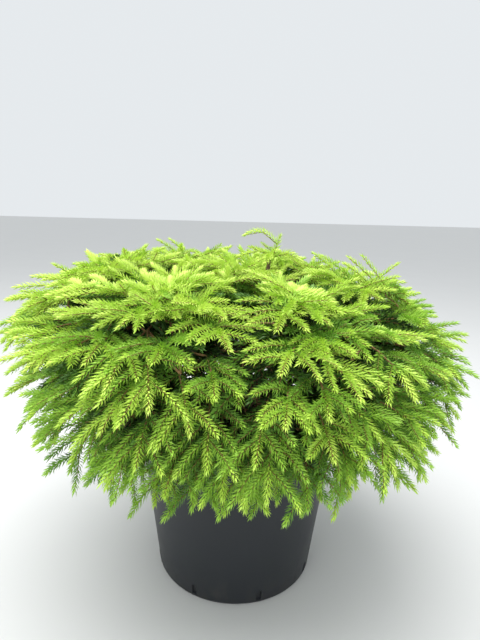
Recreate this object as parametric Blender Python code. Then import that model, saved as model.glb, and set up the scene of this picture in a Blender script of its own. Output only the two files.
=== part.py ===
"""Bird's nest spruce in a 25-litre nursery pot: pot, potting mix, short trunk, boughs and foliage masses.

Metres, +Z up. The origin is the middle of the pot's flat underside. The plant's front faces -Y.
"""

import math
import random

import bmesh
import bpy
from mathutils import Vector

# Pot
POT_HEIGHT = 0.310
POT_FOOT_RADIUS = 0.150
POT_TAPER = 0.120  # outward run of the wall for each unit of height
POT_WALL = 0.003
POT_FLOOR = 0.004
POT_CORNER = 0.006
RIM_HEIGHT = 0.018
RIM_OUT = 0.006
RIM_ROUND = 0.0015
POT_SEGMENTS = 48

# Drain slots round the foot of the pot
SLOT_COUNT = 8
SLOT_FIRST_DEG = -72.5
SLOT_WIDTH = 0.008
SLOT_BOTTOM = 0.0065
SLOT_HEIGHT = 0.022
SLOT_ARCH_STEPS = 4

# Potting mix
MIX_BELOW_RIM = 0.026

# Clear gap kept between solids that touch on the real plant
GAP = 0.0003

# Trunk
TRUNK_RADIUS = 0.021
TRUNK_TIP_RADIUS = 0.012
FLARE_RADIUS = 0.013
FLARE_HEIGHT = 0.020
FLARE_LOBES = 5
FLARE_FLUTE = 0.16
TRUNK_HEIGHT = 0.150
TRUNK_LEAN = 0.012
TRUNK_CLEARANCE = 0.0006
TRUNK_SIDES = 16
TRUNK_RINGS = 8

# Crown: a flat-topped dome that curls in under its widest line
CROWN_RADIUS = 0.408
CROWN_WIDER_LEFT = 0.007
CROWN_WIDER_BACK = 0.007
CROWN_TILT = 0.058  # the left side stands higher than the right by this much of the run
WIDEST_HEIGHT = 0.407
CROWN_RISE = 0.180
SKIRT_DROP = 0.146
CROWN_POWER = 2.9
SKIRT_POWER = 2.2
NEST_DEPTH = 0.012
NEST_RADIUS = 0.085
VALLEY_AZIMUTH_DEG = -94
VALLEY_WIDTH_DEG = 13
VALLEY_SHARE = 0.045
SHINGLE = 0.6  # how far a mass's inner side lies nearer the top than its outer side

# Foliage masses
CELL_MARGIN = 0.005
MASS_AROUND = 24
MASS_RINGS = 5
MASS_POWER = 4.6
FINGERS = 6
FINGER_DEPTH = 0.20
LUMP_DEPTH = 0.05
HEART_SHIFT = 0.32  # how far the middle of a mass's outer face lies towards its upper edge
SEAM_WAVE_DEG = 2.4
SEAM_WAVES = 5

# One row for each tier of masses: name, count, azimuth of its first seam, polar span in degrees, depth
# as a share of the way to the crown's core, height of its boughs' whorl over the mix, the boughs' rise
# in degrees and their radius at the trunk
TIERS = (
    ("skirt", 8, -97.5, (84.0, 137.0), 0.29, 0.034, 26, 0.0055),
    ("shoulder", 7, -84.0, (51.0, 84.0), 0.27, 0.062, 40, 0.0060),
    ("mid", 6, -95.0, (22.0, 51.0), 0.38, 0.090, 56, 0.0055),
    ("top", 4, -78.0, (1.5, 22.0), 0.45, 0.116, 68, 0.0060),
)

# How much further out and down than the plain skirt each of its masses hangs, from the first seam on
SKIRT_REACH = (1.01, 1.02, 1.00, 0.96, 0.94, 0.88, 0.78, 0.99)
SKIRT_HANG = (1.12, 0.96, 0.86, 0.98, 0.92, 1.04, 1.10, 1.36)

# Boughs
BOUGH_TIP_SHARE = 0.55
BOUGH_SIDES = 6
BOUGH_RINGS = 6
BOUGH_ENTRY = 0.78  # where a bough ends, as a share of the mass's depth
BOUGH_PULL = 0.36
BOUGH_ROOT = 0.55  # where a bough starts, as a share of the trunk's radius
AZIMUTH_JITTER_DEG = 1.5
WHORL_STAGGER = 0.005  # every second bough of a whorl leaves the trunk this much higher, the rest lower

# Leader: the tuft that stands over the middle of the nest
LEADER_CENTRE = (0.050, -0.004, 0.6225)
LEADER_HALF = (0.062, 0.036, 0.0285)
LEADER_TAPER = 0.45
LEADER_POWER = 2.6
LEADER_BOUGH_RADIUS = 0.0060

MIX_TOP = POT_HEIGHT - MIX_BELOW_RIM
TRUNK_FOOT = MIX_TOP + GAP
CORE = Vector((0.0, 0.0, WIDEST_HEIGHT))
SEED = 20


def clear_scene():
    for obj in list(bpy.data.objects):
        bpy.data.objects.remove(obj)


def material(name, colour, roughness):
    made = bpy.data.materials.new(name)
    made.use_nodes = True
    shader = made.node_tree.nodes["Principled BSDF"]
    shader.inputs["Base Color"].default_value = (*colour, 1.0)
    shader.inputs["Roughness"].default_value = roughness
    shader.inputs["Metallic"].default_value = 0.0
    return made


def add_object(name, mesh, finish):
    obj = bpy.data.objects.new(name, mesh)
    bpy.context.scene.collection.objects.link(obj)
    mesh.materials.append(finish)
    return obj


def as_cutter(obj):
    obj.hide_render = True
    obj.display_type = "WIRE"
    return obj


def subtract(obj, cutter):
    cut = obj.modifiers.new("cut " + cutter.name, "BOOLEAN")
    cut.operation = "DIFFERENCE"
    cut.solver = "EXACT"
    cut.object = cutter


def smooth(mesh):
    mesh.shade_smooth()
    mesh.set_sharp_from_angle(angle=math.radians(40))


def turned_solid(name, profile, segments, finish):
    """The profile's points (radius, height), spun once round Z into a closed solid."""
    bm = bmesh.new()
    points = [bm.verts.new((radius, 0.0, height)) for radius, height in profile]
    edges = [bm.edges.new(pair) for pair in zip(points, points[1:])]
    bmesh.ops.spin(
        bm, geom=points + edges, cent=(0, 0, 0), axis=(0, 0, 1), angle=math.tau, steps=segments, use_merge=True
    )
    bmesh.ops.remove_doubles(bm, verts=bm.verts, dist=1e-5)
    bmesh.ops.recalc_face_normals(bm, faces=bm.faces)
    mesh = bpy.data.meshes.new(name)
    bm.to_mesh(mesh)
    bm.free()
    smooth(mesh)
    return add_object(name, mesh, finish)


def wall_radius(height):
    return POT_FOOT_RADIUS + POT_TAPER * height


def pot_profile():
    """Underside, rounded foot, tapered wall, turned-out rim, and the inside back down to the middle."""
    rim_bottom = POT_HEIGHT - RIM_HEIGHT
    rim_radius = wall_radius(rim_bottom) + RIM_OUT
    inner_top = wall_radius(POT_HEIGHT) - POT_WALL
    corner = [
        (
            POT_FOOT_RADIUS - POT_CORNER + POT_CORNER * math.sin(turn),
            POT_CORNER - POT_CORNER * math.cos(turn),
        )
        for turn in (0.0, math.pi / 6, math.pi / 3, math.pi / 2)
    ]
    rim = [
        (wall_radius(rim_bottom), rim_bottom),
        (rim_radius, rim_bottom + RIM_ROUND),
        (rim_radius, POT_HEIGHT - RIM_ROUND),
        (rim_radius - RIM_ROUND, POT_HEIGHT),
        (inner_top, POT_HEIGHT),
    ]
    inside = [(POT_FOOT_RADIUS - POT_WALL + POT_TAPER * POT_FLOOR, POT_FLOOR), (0.0, POT_FLOOR)]
    return [(0.0, 0.0)] + corner + rim + inside


def slot_cutter(number):
    """An arched bar that passes through the wall at one of the even places round the foot."""
    half = SLOT_WIDTH / 2
    spring = SLOT_BOTTOM + SLOT_HEIGHT - half
    outline = [(-half, SLOT_BOTTOM), (half, SLOT_BOTTOM)]
    for step in range(SLOT_ARCH_STEPS + 1):
        turn = math.pi * step / SLOT_ARCH_STEPS
        outline.append((half * math.cos(turn), spring + half * math.sin(turn)))
    bm = bmesh.new()
    inner = POT_FOOT_RADIUS - 5 * POT_WALL
    face = bm.faces.new([bm.verts.new((inner, side, height)) for side, height in outline])
    made = bmesh.ops.extrude_face_region(bm, geom=[face])["geom"]
    moved = [item for item in made if isinstance(item, bmesh.types.BMVert)]
    bmesh.ops.translate(bm, verts=moved, vec=(10 * POT_WALL, 0, 0))
    bmesh.ops.recalc_face_normals(bm, faces=bm.faces)
    mesh = bpy.data.meshes.new(f"slot_{number}")
    bm.to_mesh(mesh)
    bm.free()
    cutter = bpy.data.objects.new(mesh.name, mesh)
    bpy.context.scene.collection.objects.link(cutter)
    cutter.rotation_euler.z = math.radians(SLOT_FIRST_DEG + 360 * number / SLOT_COUNT)
    return as_cutter(cutter)


def build_pot(finish):
    pot = turned_solid("pot", pot_profile(), POT_SEGMENTS, finish)
    for number in range(SLOT_COUNT):
        subtract(pot, slot_cutter(number))
    return pot


def build_mix(finish):
    """The root ball in its mix fills the pot to a flat top, a gap clear of wall and floor."""
    bottom = POT_FLOOR + GAP
    inset = POT_WALL + 2 * GAP
    profile = [
        (0.0, bottom),
        (wall_radius(bottom) - inset, bottom),
        (wall_radius(MIX_TOP) - inset, MIX_TOP),
        (0.0, MIX_TOP),
    ]
    return turned_solid("potting_mix", profile, POT_SEGMENTS, finish)


def tube_mesh(name, centres, radii, sides, shape=None):
    """A closed limb: a ring of points square to the path at each centre, joined and capped.

    shape(ring, angle) is a factor on the radius, for a limb that isn't round.
    """
    verts = []
    side = Vector((0.0, 0.0, 1.0)).cross(centres[1] - centres[0])
    if side.length < 1e-6:
        side = Vector((1.0, 0.0, 0.0))
    for ring, centre in enumerate(centres):
        before = centres[max(ring - 1, 0)]
        after = centres[min(ring + 1, len(centres) - 1)]
        along = (after - before).normalized()
        side = (side - along * side.dot(along)).normalized()
        over = along.cross(side)
        for number in range(sides):
            angle = math.tau * number / sides
            radius = radii[ring] * (shape(ring, angle) if shape else 1.0)
            verts.append(centre + (side * math.cos(angle) + over * math.sin(angle)) * radius)
    faces = [tuple(range(sides))[::-1]]
    for ring in range(len(centres) - 1):
        low = ring * sides
        for number in range(sides):
            beside = (number + 1) % sides
            faces.append((low + number, low + beside, low + sides + beside, low + sides + number))
    top = (len(centres) - 1) * sides
    faces.append(tuple(top + number for number in range(sides)))
    mesh = bpy.data.meshes.new(name)
    mesh.from_pydata(verts, [], faces)
    smooth(mesh)
    return mesh


def trunk_centre(height):
    """The trunk's middle line leans a little towards +X as it rises from the mix."""
    share = (height - TRUNK_FOOT) / TRUNK_HEIGHT
    return Vector((TRUNK_LEAN * share * share, 0.0, height))


def trunk_radius(height):
    share = (height - TRUNK_FOOT) / TRUNK_HEIGHT
    flare = FLARE_RADIUS * math.exp(-(height - TRUNK_FOOT) / FLARE_HEIGHT)
    return TRUNK_RADIUS + (TRUNK_TIP_RADIUS - TRUNK_RADIUS) * share + flare


def build_trunk(name, wider, finish):
    """The tapered stem with its fluted foot, cut level at the mix. wider grows it on every side."""
    heights = [TRUNK_FOOT + TRUNK_HEIGHT * (ring / (TRUNK_RINGS - 1)) ** 1.5 for ring in range(TRUNK_RINGS)]

    def fluted(ring, angle):
        fade = math.exp(-(heights[ring] - TRUNK_FOOT) / FLARE_HEIGHT)
        return 1 + FLARE_FLUTE * fade * math.cos(FLARE_LOBES * angle)

    centres = [trunk_centre(height) for height in heights]
    centres[-1].z += wider
    radii = [trunk_radius(height) + wider for height in heights]
    mesh = tube_mesh(name, centres, radii, TRUNK_SIDES, fluted)
    for vertex in list(mesh.vertices)[:TRUNK_SIDES]:
        vertex.co.z = TRUNK_FOOT
    return add_object(name, mesh, finish)


def crown_radius(azimuth):
    """A little wider to the left and the back, with a valley between the two lobes in front."""
    off = (math.degrees(azimuth) - VALLEY_AZIMUTH_DEG + 180) % 360 - 180
    valley = VALLEY_SHARE * math.exp(-((off / VALLEY_WIDTH_DEG) ** 2))
    spread = CROWN_RADIUS - CROWN_WIDER_LEFT * math.cos(azimuth) + CROWN_WIDER_BACK * math.sin(azimuth)
    return spread * (1 - valley)


def crown_surface(azimuth, polar, reach=1.0, hang=1.0):
    """The dome's outer surface: a superellipse over its widest line and a shallower one under it.

    polar is 0 over the middle, a quarter turn at the widest line and more on the skirt.
    """
    over = math.cos(polar)
    power = CROWN_POWER if over > 0 else SKIRT_POWER
    rise = CROWN_RISE if over > 0 else -SKIRT_DROP * hang
    radius = crown_radius(azimuth) * abs(math.sin(polar)) ** (2 / power)
    radius *= 1 + (reach - 1) * max(0.0, -over)
    height = WIDEST_HEIGHT + rise * abs(over) ** (2 / power)
    height -= NEST_DEPTH * math.exp(-((radius / NEST_RADIUS) ** 2))
    height -= CROWN_TILT * radius * math.cos(azimuth)
    return Vector((radius * math.cos(azimuth), radius * math.sin(azimuth), height))


def inside_crown(azimuth, polar, depth, reach=1.0, hang=1.0):
    """The point this share of the way from the outer surface to the core, drawn towards the top as it goes in."""
    return crown_surface(azimuth, polar * (1 - SHINGLE * depth), reach, hang).lerp(CORE, depth)


def seam(azimuth, polar_deg):
    """The wavy line between two tiers, shared by the masses on both sides of it."""
    wave = SEAM_WAVE_DEG * math.sin(SEAM_WAVES * azimuth + polar_deg) * min(1.0, polar_deg / 40)
    return math.radians(polar_deg + wave)


def uneven(angle, lean, phases):
    """The share of its half size that a mass keeps in this direction: fingers round its edge, and slow lumps."""
    less_beside = 0.12 + 0.88 * abs(math.sin(angle)) ** 1.5
    fingers = FINGER_DEPTH * less_beside * math.cos(lean) * (0.5 - 0.5 * math.cos(FINGERS * angle))
    lumps = LUMP_DEPTH * (0.5 + 0.5 * math.sin(2 * angle + phases[0]) * math.cos(2 * lean + phases[1]))
    return 1 - fingers - lumps


def rounded(value, power):
    """Pushes a unit sphere's coordinate outwards, so that a ball becomes a round-edged block."""
    return math.copysign(abs(value) ** (2 / power), value)


def ball_directions():
    """A ball of rings round its own Z, as each point's (angle, lean) on it and the faces."""
    bm = bmesh.new()
    bmesh.ops.create_uvsphere(bm, u_segments=MASS_AROUND, v_segments=MASS_RINGS, radius=1.0)
    bm.verts.ensure_lookup_table()
    points = [(math.atan2(v.co.y, v.co.x), math.asin(max(-1.0, min(1.0, v.co.z)))) for v in bm.verts]
    faces = [[v.index for v in face.verts] for face in bm.faces]
    bm.free()
    return points, faces


def mass_mesh(name, place, phases, power=MASS_POWER):
    """A closed uneven mass. place(u, v, w) turns its own coordinates, each from -1 to 1, into a point."""
    points, faces = ball_directions()
    verts = []
    for angle, lean in points:
        factor = uneven(angle, lean, phases)
        round_share = rounded(math.cos(lean), power)
        u = rounded(math.cos(angle), power) * round_share * factor
        v = rounded(math.sin(angle), power) * round_share * factor
        v -= HEART_SHIFT * (1 - v * v) * abs(math.sin(lean))
        w = rounded(math.sin(lean), power) * (1 - LUMP_DEPTH + LUMP_DEPTH * factor)
        verts.append(place(u, v, w))
    mesh = bpy.data.meshes.new(name)
    mesh.from_pydata(verts, [], faces)
    bm = bmesh.new()
    bm.from_mesh(mesh)
    bmesh.ops.recalc_face_normals(bm, faces=bm.faces)
    bm.to_mesh(mesh)
    bm.free()
    mesh.shade_smooth()
    return mesh


def cell_place(azimuth, half_azimuth, span, depth, hanging):
    """Maps a mass's own coordinates into its cell of the crown, so that no two masses can meet."""
    outer = crown_surface(azimuth, math.radians(sum(span) / 2))
    across = half_azimuth - CELL_MARGIN / 2 / math.hypot(outer.x, outer.y)
    edge = CELL_MARGIN / 2 / (outer - CORE).length

    def place(u, v, w):
        turn = azimuth + u * across
        low, high = seam(turn, span[0]) + edge, seam(turn, span[1]) - edge
        polar = low + (high - low) * (0.5 + 0.5 * v)
        return inside_crown(turn, polar, depth * (0.5 - 0.5 * w), *hanging)

    return place


def bezier(points, share):
    """A point of the cubic curve through four control points."""
    a, b, c, d = points
    rest = 1 - share
    return a * rest**3 + b * (3 * rest**2 * share) + c * (3 * rest * share**2) + d * share**3


def bough_path(start_height, azimuth, rise, end, arrive):
    """From inside the trunk, out at the given rise, arching over to arrive at the mass in its own direction."""
    out = Vector((math.cos(azimuth), math.sin(azimuth), 0.0))
    start = trunk_centre(start_height) + out * (trunk_radius(start_height) * BOUGH_ROOT)
    leave = out * math.cos(rise) + Vector((0, 0, math.sin(rise)))
    pull = (end - start).length * BOUGH_PULL
    controls = (start, start + leave * pull, end - arrive * pull, end)
    return [bezier(controls, ring / (BOUGH_RINGS - 1)) for ring in range(BOUGH_RINGS)]


def add_bough(name, path, radius, trunk_cutter, finish):
    """One tapering limb that ends a gap off the trunk, and the cutter that makes its socket in the mass."""
    radii = [radius * (1 - (1 - BOUGH_TIP_SHARE) * ring / (BOUGH_RINGS - 1)) for ring in range(BOUGH_RINGS)]
    bough = add_object(name, tube_mesh(name, path, radii, BOUGH_SIDES), finish)
    subtract(bough, trunk_cutter)
    longer = list(path)
    longer[-1] = path[-1] + (path[-1] - path[-2]).normalized() * GAP
    wider = [value + 1.25 * GAP for value in radii]
    cutter = add_object("socket_" + name, tube_mesh("socket_" + name, longer, wider, BOUGH_SIDES), finish)
    return as_cutter(cutter)


def build_tier(tier, draw, trunk_cutter, needles, bark):
    """The masses of one tier with a bough to each. Returns the masses."""
    name, count, first_seam, span, depth, whorl, rise_deg, radius = tier
    masses = []
    for number in range(count):
        azimuth = math.radians(first_seam + 360 * (number + 0.5) / count)
        phases = [draw.uniform(0, math.tau) for _ in range(2)]
        hanging = (SKIRT_REACH[number], SKIRT_HANG[number]) if name == "skirt" else (1.0, 1.0)
        title = f"foliage_{name}_{number + 1}"
        place = cell_place(azimuth, math.pi / count, span, depth, hanging)
        mass = add_object(title, mass_mesh(title, place, phases), needles)
        middle = math.radians(sum(span) / 2)
        end = inside_crown(azimuth, middle, depth * BOUGH_ENTRY, *hanging)
        arrive = (crown_surface(azimuth, middle, *hanging) - end).normalized()
        leave_azimuth = azimuth + math.radians(draw.uniform(-AZIMUTH_JITTER_DEG, AZIMUTH_JITTER_DEG))
        leave_height = MIX_TOP + whorl + WHORL_STAGGER * (1 if number % 2 else -1)
        path = bough_path(leave_height, leave_azimuth, math.radians(rise_deg), end, arrive)
        subtract(mass, add_bough(f"bough_{name}_{number + 1}", path, radius, trunk_cutter, bark))
        masses.append(mass)
    return masses


def build_leader(draw, top_masses, trunk_cutter, needles, bark):
    """The tuft over the nest, on an upright bough that goes on from the trunk's tip between the top masses."""
    centre, half = Vector(LEADER_CENTRE), LEADER_HALF

    def place(u, v, w):
        narrow = 1 - LEADER_TAPER * (0.5 - 0.5 * u)
        lift = 0.25 * (0.5 - 0.5 * u)
        return centre + Vector((u * half[0], v * half[1] * narrow, (w * narrow + lift) * half[2]))

    phases = [draw.uniform(0, math.tau) for _ in range(2)]
    mass = add_object("foliage_leader", mass_mesh("foliage_leader", place, phases, LEADER_POWER), needles)
    start = trunk_centre(TRUNK_FOOT + TRUNK_HEIGHT) - Vector((0, 0, 0.008))
    end = centre - Vector((0, 0, half[2] * 0.6))
    lift = Vector((0, 0, (end.z - start.z) * BOUGH_PULL))
    controls = (start, start + lift, end - lift, end)
    path = [bezier(controls, ring / (BOUGH_RINGS - 1)) for ring in range(BOUGH_RINGS)]
    cutter = add_bough("bough_leader", path, LEADER_BOUGH_RADIUS, trunk_cutter, bark)
    for pierced in [mass, *top_masses]:
        subtract(pierced, cutter)


def main():
    clear_scene()
    draw = random.Random(SEED)
    pot_plastic = material("pot_plastic", (0.012, 0.016, 0.022), 0.45)
    mix = material("potting_mix", (0.045, 0.030, 0.020), 0.95)
    bark = material("bark", (0.20, 0.12, 0.07), 0.85)
    needles = material("needles", (0.22, 0.42, 0.05), 0.55)
    build_pot(pot_plastic)
    build_mix(mix)
    build_trunk("trunk", 0.0, bark)
    trunk_cutter = as_cutter(build_trunk("trunk_clearance", TRUNK_CLEARANCE, bark))
    tiers = [build_tier(tier, draw, trunk_cutter, needles, bark) for tier in TIERS]
    build_leader(draw, tiers[-1], trunk_cutter, needles, bark)


main()
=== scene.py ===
"""The looks of a bird's nest spruce in its nursery pot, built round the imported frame.

Every foliage mass of the frame gives way to branchlets, shoots and needles that grow on from the boughs.
Metres, +Z up, the plant's front towards -Y.
"""

import itertools
import math

import bpy
import numpy as np
from mathutils import Matrix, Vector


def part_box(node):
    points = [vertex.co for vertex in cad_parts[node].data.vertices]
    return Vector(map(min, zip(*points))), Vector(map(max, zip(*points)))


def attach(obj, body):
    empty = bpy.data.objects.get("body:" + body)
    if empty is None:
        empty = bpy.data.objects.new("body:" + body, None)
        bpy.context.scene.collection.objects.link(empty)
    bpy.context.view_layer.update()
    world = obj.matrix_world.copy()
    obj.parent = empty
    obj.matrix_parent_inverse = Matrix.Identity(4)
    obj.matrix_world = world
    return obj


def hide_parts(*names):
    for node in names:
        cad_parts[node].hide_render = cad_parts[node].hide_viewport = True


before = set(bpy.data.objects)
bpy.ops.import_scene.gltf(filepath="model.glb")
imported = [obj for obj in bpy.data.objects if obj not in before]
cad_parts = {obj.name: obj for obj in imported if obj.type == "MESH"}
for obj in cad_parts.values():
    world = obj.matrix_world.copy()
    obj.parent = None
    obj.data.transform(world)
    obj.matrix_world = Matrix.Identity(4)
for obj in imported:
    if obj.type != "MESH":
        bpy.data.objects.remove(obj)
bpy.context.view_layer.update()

bl_info = {
    "name": "Potted bird's nest spruce",
    "version": (1, 0, 0),
    "blender": (4, 5, 0),
    "location": "3D View > Sidebar > Spruce",
    "description": "Builds the pot, the mix, the limbs and the foliage of a potted bird's nest spruce",
    "category": "Object",
}

NODES = sorted(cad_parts)
FOLIAGE_NODES = [name for name in NODES if name.startswith("foliage_")]
BOUGH_NODES = [name for name in NODES if name.startswith("bough_")]
POT_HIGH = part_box("pot")[1].z
MIX_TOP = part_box("potting_mix")[1].z
SEED = 7

# The photograph's camera: its place, its tilt and its focal length
CAMERA_PLACE = (0.0, -0.904, 0.697)
CAMERA_PITCH_DEG = 13.02
CAMERA_ROLL_DEG = 1.43
FOCAL_PIXELS = 500
PHOTO_HEIGHT_PIXELS = 640
SENSOR_MM = 36.0

# Azimuth of the first of the skirt's masses, and how far each of them reaches out and hangs down
SKIRT_AZIMUTH_DEG = -75.0
SKIRT_REACH = (1.01, 1.02, 1.00, 0.96, 0.94, 0.88, 0.78, 0.99)
SKIRT_HANG = (1.12, 0.96, 0.86, 0.98, 0.92, 1.04, 1.10, 1.36)

# Places in plan from which the crown's shoots fan out: the two lobes in front, the sides and the back
FANS = (
    (-0.105, -0.215),
    (0.085, -0.205),
    (-0.235, 0.015),
    (0.215, -0.015),
    (-0.115, 0.200),
    (0.125, 0.190),
    (0.0, 0.02),
)

# How steeply a frond points below the level, by its polar angle on the crown
DROOP_POLAR_DEG = (0, 25, 45, 60, 75, 90, 110, 137)
DROOP_DEG = (-16, -10, 2, 12, 22, 32, 48, 60)

# Where the crown draws in between the front lobes, and how wide that valley is
VALLEY_AZIMUTH_DEG = -94
VALLEY_WIDTH_DEG = 12

# Side shoots in pairs: the share of the frond's axis where a pair stands, and its share of the frond's length
OUTER_PAIRS = ((0.28, 0.64), (0.50, 0.58), (0.71, 0.46))
SHADED_PAIRS = ((0.30, 0.62), (0.52, 0.54), (0.74, 0.42))

# The shaded layers: multiples of the inner spacing and depth, lightness (painted shade, the deeper layer
# darker), share of the needles and their size
SHADED_LAYERS = ((1.0, 1.0, 0.30, 0.62, 1.18), (1.05, 2.1, 0.06, 0.42, 1.55))

# Needles stand in a golden-angle spiral over this much of a shoot's round
GOLDEN_TURN = 0.38196601
NEEDLE_ARC_DEG = 250
NEEDLES_IN_PIECE = 48000
# Needle tints from lightest to darkest: besides the needles' age, they carry painted light at the top of the
# crown and painted shade inside it
TINTS = ("tip", "fresh", "leaf", "grown", "old", "inner")


def length_setting(name, description, default):
    """A size in metres."""
    return bpy.props.FloatProperty(name=name, description=description, default=default, unit="LENGTH")


def angle_setting(name, description, degrees):
    return bpy.props.FloatProperty(
        name=name, description=description, default=math.radians(degrees), subtype="ANGLE"
    )


def power_setting(name, description, default):
    return bpy.props.FloatProperty(name=name, description=description, default=default, subtype="POWER")


def number_setting(name, description, default):
    """A plain ratio, power or strength."""
    return bpy.props.FloatProperty(name=name, description=description, default=default)


def count_setting(name, description, default):
    return bpy.props.IntProperty(name=name, description=description, default=default)


def colour_setting(name, description, default):
    """A base colour in linear values."""
    return bpy.props.FloatVectorProperty(
        name=name, description=description, default=default, size=3, subtype="COLOR", min=0, max=1
    )


class CrownSettings(bpy.types.PropertyGroup):
    """The envelope that the tips of the shoots reach."""

    radius: length_setting("Radius", "Mean radius at the widest line", 0.393)
    wider_left: length_setting("Wider left", "Added to the left", 0.007)
    wider_back: length_setting("Wider back", "Added to the back", 0.007)
    tilt: number_setting("Tilt", "Fall from left to right, as a share of the run", 0.058)
    widest: length_setting("Widest height", "Height of the widest line", 0.407)
    rise: length_setting("Rise", "From the widest line to the top", 0.180)
    drop: length_setting("Drop", "From the widest line down to the skirt's foot", 0.146)
    top_power: number_setting("Top squareness", "Power of the dome's superellipse", 2.9)
    skirt_power: number_setting("Skirt squareness", "Power of the skirt's superellipse", 2.2)
    valley: number_setting("Valley", "Share by which the crown draws in between the front lobes", 0.06)


class ShootSettings(bpy.types.PropertyGroup):
    """Sizes of the fronds, shoots and needles."""

    frond_spacing: length_setting("Frond spacing", "Least distance between frond tips", 0.052)
    frond_length: length_setting("Frond length", "Mean length of a frond's axis", 0.118)
    inner_spacing: length_setting("Inner spacing", "Least distance between shaded fronds", 0.058)
    inner_depth: length_setting("Inner depth", "How far in the shaded fronds end", 0.045)
    needle_length: length_setting("Needle length", "Length of a full-grown needle", 0.0120)
    needle_width: length_setting("Needle width", "Width of a needle", 0.0023)
    needle_spread: angle_setting("Needle spread", "Angle between a needle and its shoot", 56)
    needle_count: count_setting("Needles on a shoot", "Needles on each outer shoot", 74)


class ColourSettings(bpy.types.PropertyGroup):
    """Base colours of the plant, the pot and the floor."""

    # The needle tints, lightest to darkest: besides the needles' age, the light ones carry painted light at the
    # top of the crown and the dark ones painted shade inside it
    tip: colour_setting("Tip needles", "Lightest needles, at the ends of the new shoots", (0.64, 0.84, 0.140))
    fresh: colour_setting("Fresh needles", "This year's needles", (0.51, 0.74, 0.092))
    leaf: colour_setting("Leaf-green needles", "Needles of the lower sprays", (0.335, 0.580, 0.062))
    grown: colour_setting("Grown needles", "Last year's needles", (0.175, 0.365, 0.042))
    # The darker two tints: painted shade for the shaded sprays and the crown's inside, besides older needles
    old: colour_setting("Old needles", "Needles of the shaded sprays", (0.075, 0.180, 0.022))
    inner: colour_setting("Inner needles", "Darkest needles, inside the crown", (0.022, 0.060, 0.009))
    twig: colour_setting("Twigs", "Bark of the year's twigs", (0.30, 0.17, 0.070))
    bark: colour_setting("Bark", "Bark of the trunk and boughs", (0.155, 0.098, 0.060))
    pot: colour_setting("Pot", "Black plastic", (0.0095, 0.0125, 0.0165))
    mix: colour_setting("Potting mix", "Moist bark and peat", (0.035, 0.022, 0.014))
    floor: colour_setting("Floor", "The studio's floor", (0.70, 0.70, 0.69))


class PotSettings(bpy.types.PropertyGroup):
    """Sizes of the pot and its drain slots."""

    foot_radius: length_setting("Foot radius", "Radius at the foot", 0.150)
    taper: number_setting("Taper", "Outward run for each unit of height", 0.120)
    wall: length_setting("Wall", "Thickness of the wall", 0.003)
    corner: length_setting("Corner", "Radius of the foot's corner", 0.006)
    rim_height: length_setting("Rim height", "Height of the turned-out rim", 0.018)
    rim_out: length_setting("Rim overhang", "How far the rim stands out", 0.006)
    slot_count: count_setting("Drain slots", "Slots round the foot", 8)
    slot_first: angle_setting("First slot", "Azimuth of the first slot", -72.5)
    slot_width: length_setting("Slot width", "Width of a slot", 0.0085)
    slot_low: length_setting("Slot foot", "Height of a slot's lower end", 0.0065)
    slot_high: length_setting("Slot top", "Height of a slot's arched top", 0.0285)


class StageSettings(bpy.types.PropertyGroup):
    """The studio's light."""

    sky: number_setting("Sky", "Strength of the even light from all round", 0.85)
    overhead: power_setting("Overhead light", "Power of the soft light above", 84.0)
    front: power_setting("Front light", "Power of the soft light from the camera's side", 16.0)


class Value:
    """A number or vector socket. Arithmetic on it adds the Math nodes that work it out."""

    def __init__(self, finish, socket):
        self.finish = finish
        self.socket = socket

    def math(self, operation, first, second):
        made = self.finish.node("Math", {"operation": operation}, {0: first, 1: second})
        return Value(self.finish, made.outputs[0])

    def __add__(self, other):
        return self.math("ADD", self, other)

    def __radd__(self, other):
        return self.math("ADD", other, self)

    def __sub__(self, other):
        return self.math("SUBTRACT", self, other)

    def __rsub__(self, other):
        return self.math("SUBTRACT", other, self)

    def __mul__(self, other):
        return self.math("MULTIPLY", self, other)

    def __rmul__(self, other):
        return self.math("MULTIPLY", other, self)


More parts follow.
